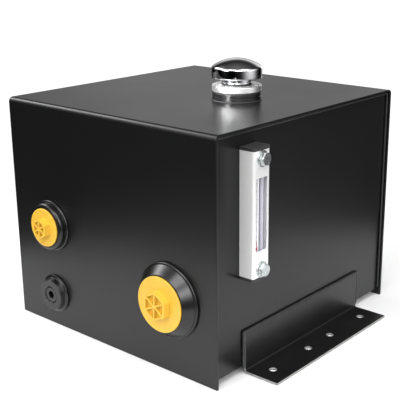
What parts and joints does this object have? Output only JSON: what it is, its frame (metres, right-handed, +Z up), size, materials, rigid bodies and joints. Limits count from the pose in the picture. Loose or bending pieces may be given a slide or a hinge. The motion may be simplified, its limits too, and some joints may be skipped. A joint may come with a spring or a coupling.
{
  "type": "hydraulic reservoir",
  "caption": "Side-mount steel hydraulic oil tank with capped suction and return ports, a drain, a filler breather, a level gauge and mounting angles.",
  "frame": {"origin": "centre of the whole reservoir's footprint, on the floor", "axes": "+X towards the level gauge's side, +Y from the port side to the rear, +Z up"},
  "size_m": [0.433, 0.3802, 0.343],
  "materials": {
    "black_paint": "semi-gloss powder coat",
    "yellow_plastic": "moulded, slightly glossy",
    "chrome": "polished",
    "bright_steel": "bright plated",
    "zinc": "zinc plated",
    "rubber": "matte",
    "bare_steel": "mill finish",
    "magnet": "nickel plated",
    "filter_foam": "open-cell foam",
    "gauge_silver": "satin silver",
    "gauge_plastic": "satin black",
    "block_plastic": "light grey",
    "clear_tube": "clear",
    "scale_white": "satin white",
    "red_liquid": "red"
  },
  "bodies": {
    "tank": {"baffle_plate": "bare_steel", "bottom_plate": "black_paint", "drain_bung": "black_paint", "filler_flange": "bright_steel", "filler_neck": "black_paint", "flange_screw_1": "zinc", "flange_screw_2": "zinc", "flange_screw_3": "zinc", "gauge_bottom_cap": "gauge_plastic", "gauge_housing": "gauge_silver", "gauge_lower_block": "block_plastic", "gauge_lower_bolt": "zinc", "gauge_lower_nut": "zinc", "gauge_lower_seal": "rubber", "gauge_lower_washer": "zinc", "gauge_scale_plate": "scale_white", "gauge_sight_tube": "clear_tube", "gauge_top_cap": "gauge_plastic", "gauge_upper_block": "block_plastic", "gauge_upper_bolt": "zinc", "gauge_upper_nut": "zinc", "gauge_upper_seal": "rubber", "gauge_upper_washer": "zinc", "left_angle_front_weld": "black_paint", "left_angle_rear_weld": "black_paint", "left_mount_angle": "black_paint", "left_seam_weld": "black_paint", "left_side_plate": "black_paint", "neck_gasket": "rubber", "neck_weld": "black_paint", "return_bung": "black_paint", "right_angle_front_weld": "black_paint", "right_angle_rear_weld": "black_paint", "right_mount_angle": "black_paint", "right_seam_weld": "black_paint", "right_side_plate": "black_paint", "strainer_basket": "zinc", "suction_bung": "black_paint", "thermometer_column": "red_liquid", "thermometer_glass": "clear_tube", "wrapper_shell": "black_paint"},
    "cap_seal": {"cap_gasket": "rubber"},
    "cap": {"breather_cap": "chrome", "cap_waist": "chrome", "breather_element": "filter_foam", "filter_retainer": "zinc", "cap_rivet": "zinc"},
    "suction_plug": {"suction_plug": "yellow_plastic"},
    "return_plug": {"return_plug": "yellow_plastic"},
    "drain_plug": {"drain_plug": "black_paint", "drain_magnet": "magnet"}
  },
  "joints": [
    {"name": "cap_turn", "type": "hinge", "parent": "tank", "child": "cap_seal", "pos_m": [0.059, 0.00715, 0.311], "axis": [0, 0, 1], "range_deg": [0, 90]},
    {"name": "cap_lift", "type": "slide", "parent": "cap_seal", "child": "cap", "axis": [0, 0, 1], "range_m": [0, 0.06]},
    {"name": "suction_plug_out", "type": "slide", "parent": "tank", "child": "suction_plug", "axis": [0, -1, 0], "range_m": [0, 0.04]},
    {"name": "return_plug_out", "type": "slide", "parent": "tank", "child": "return_plug", "axis": [0, -1, 0], "range_m": [0, 0.035]},
    {"name": "drain_plug_out", "type": "slide", "parent": "tank", "child": "drain_plug", "axis": [0, -1, 0], "range_m": [0, 0.05]}
  ]
}
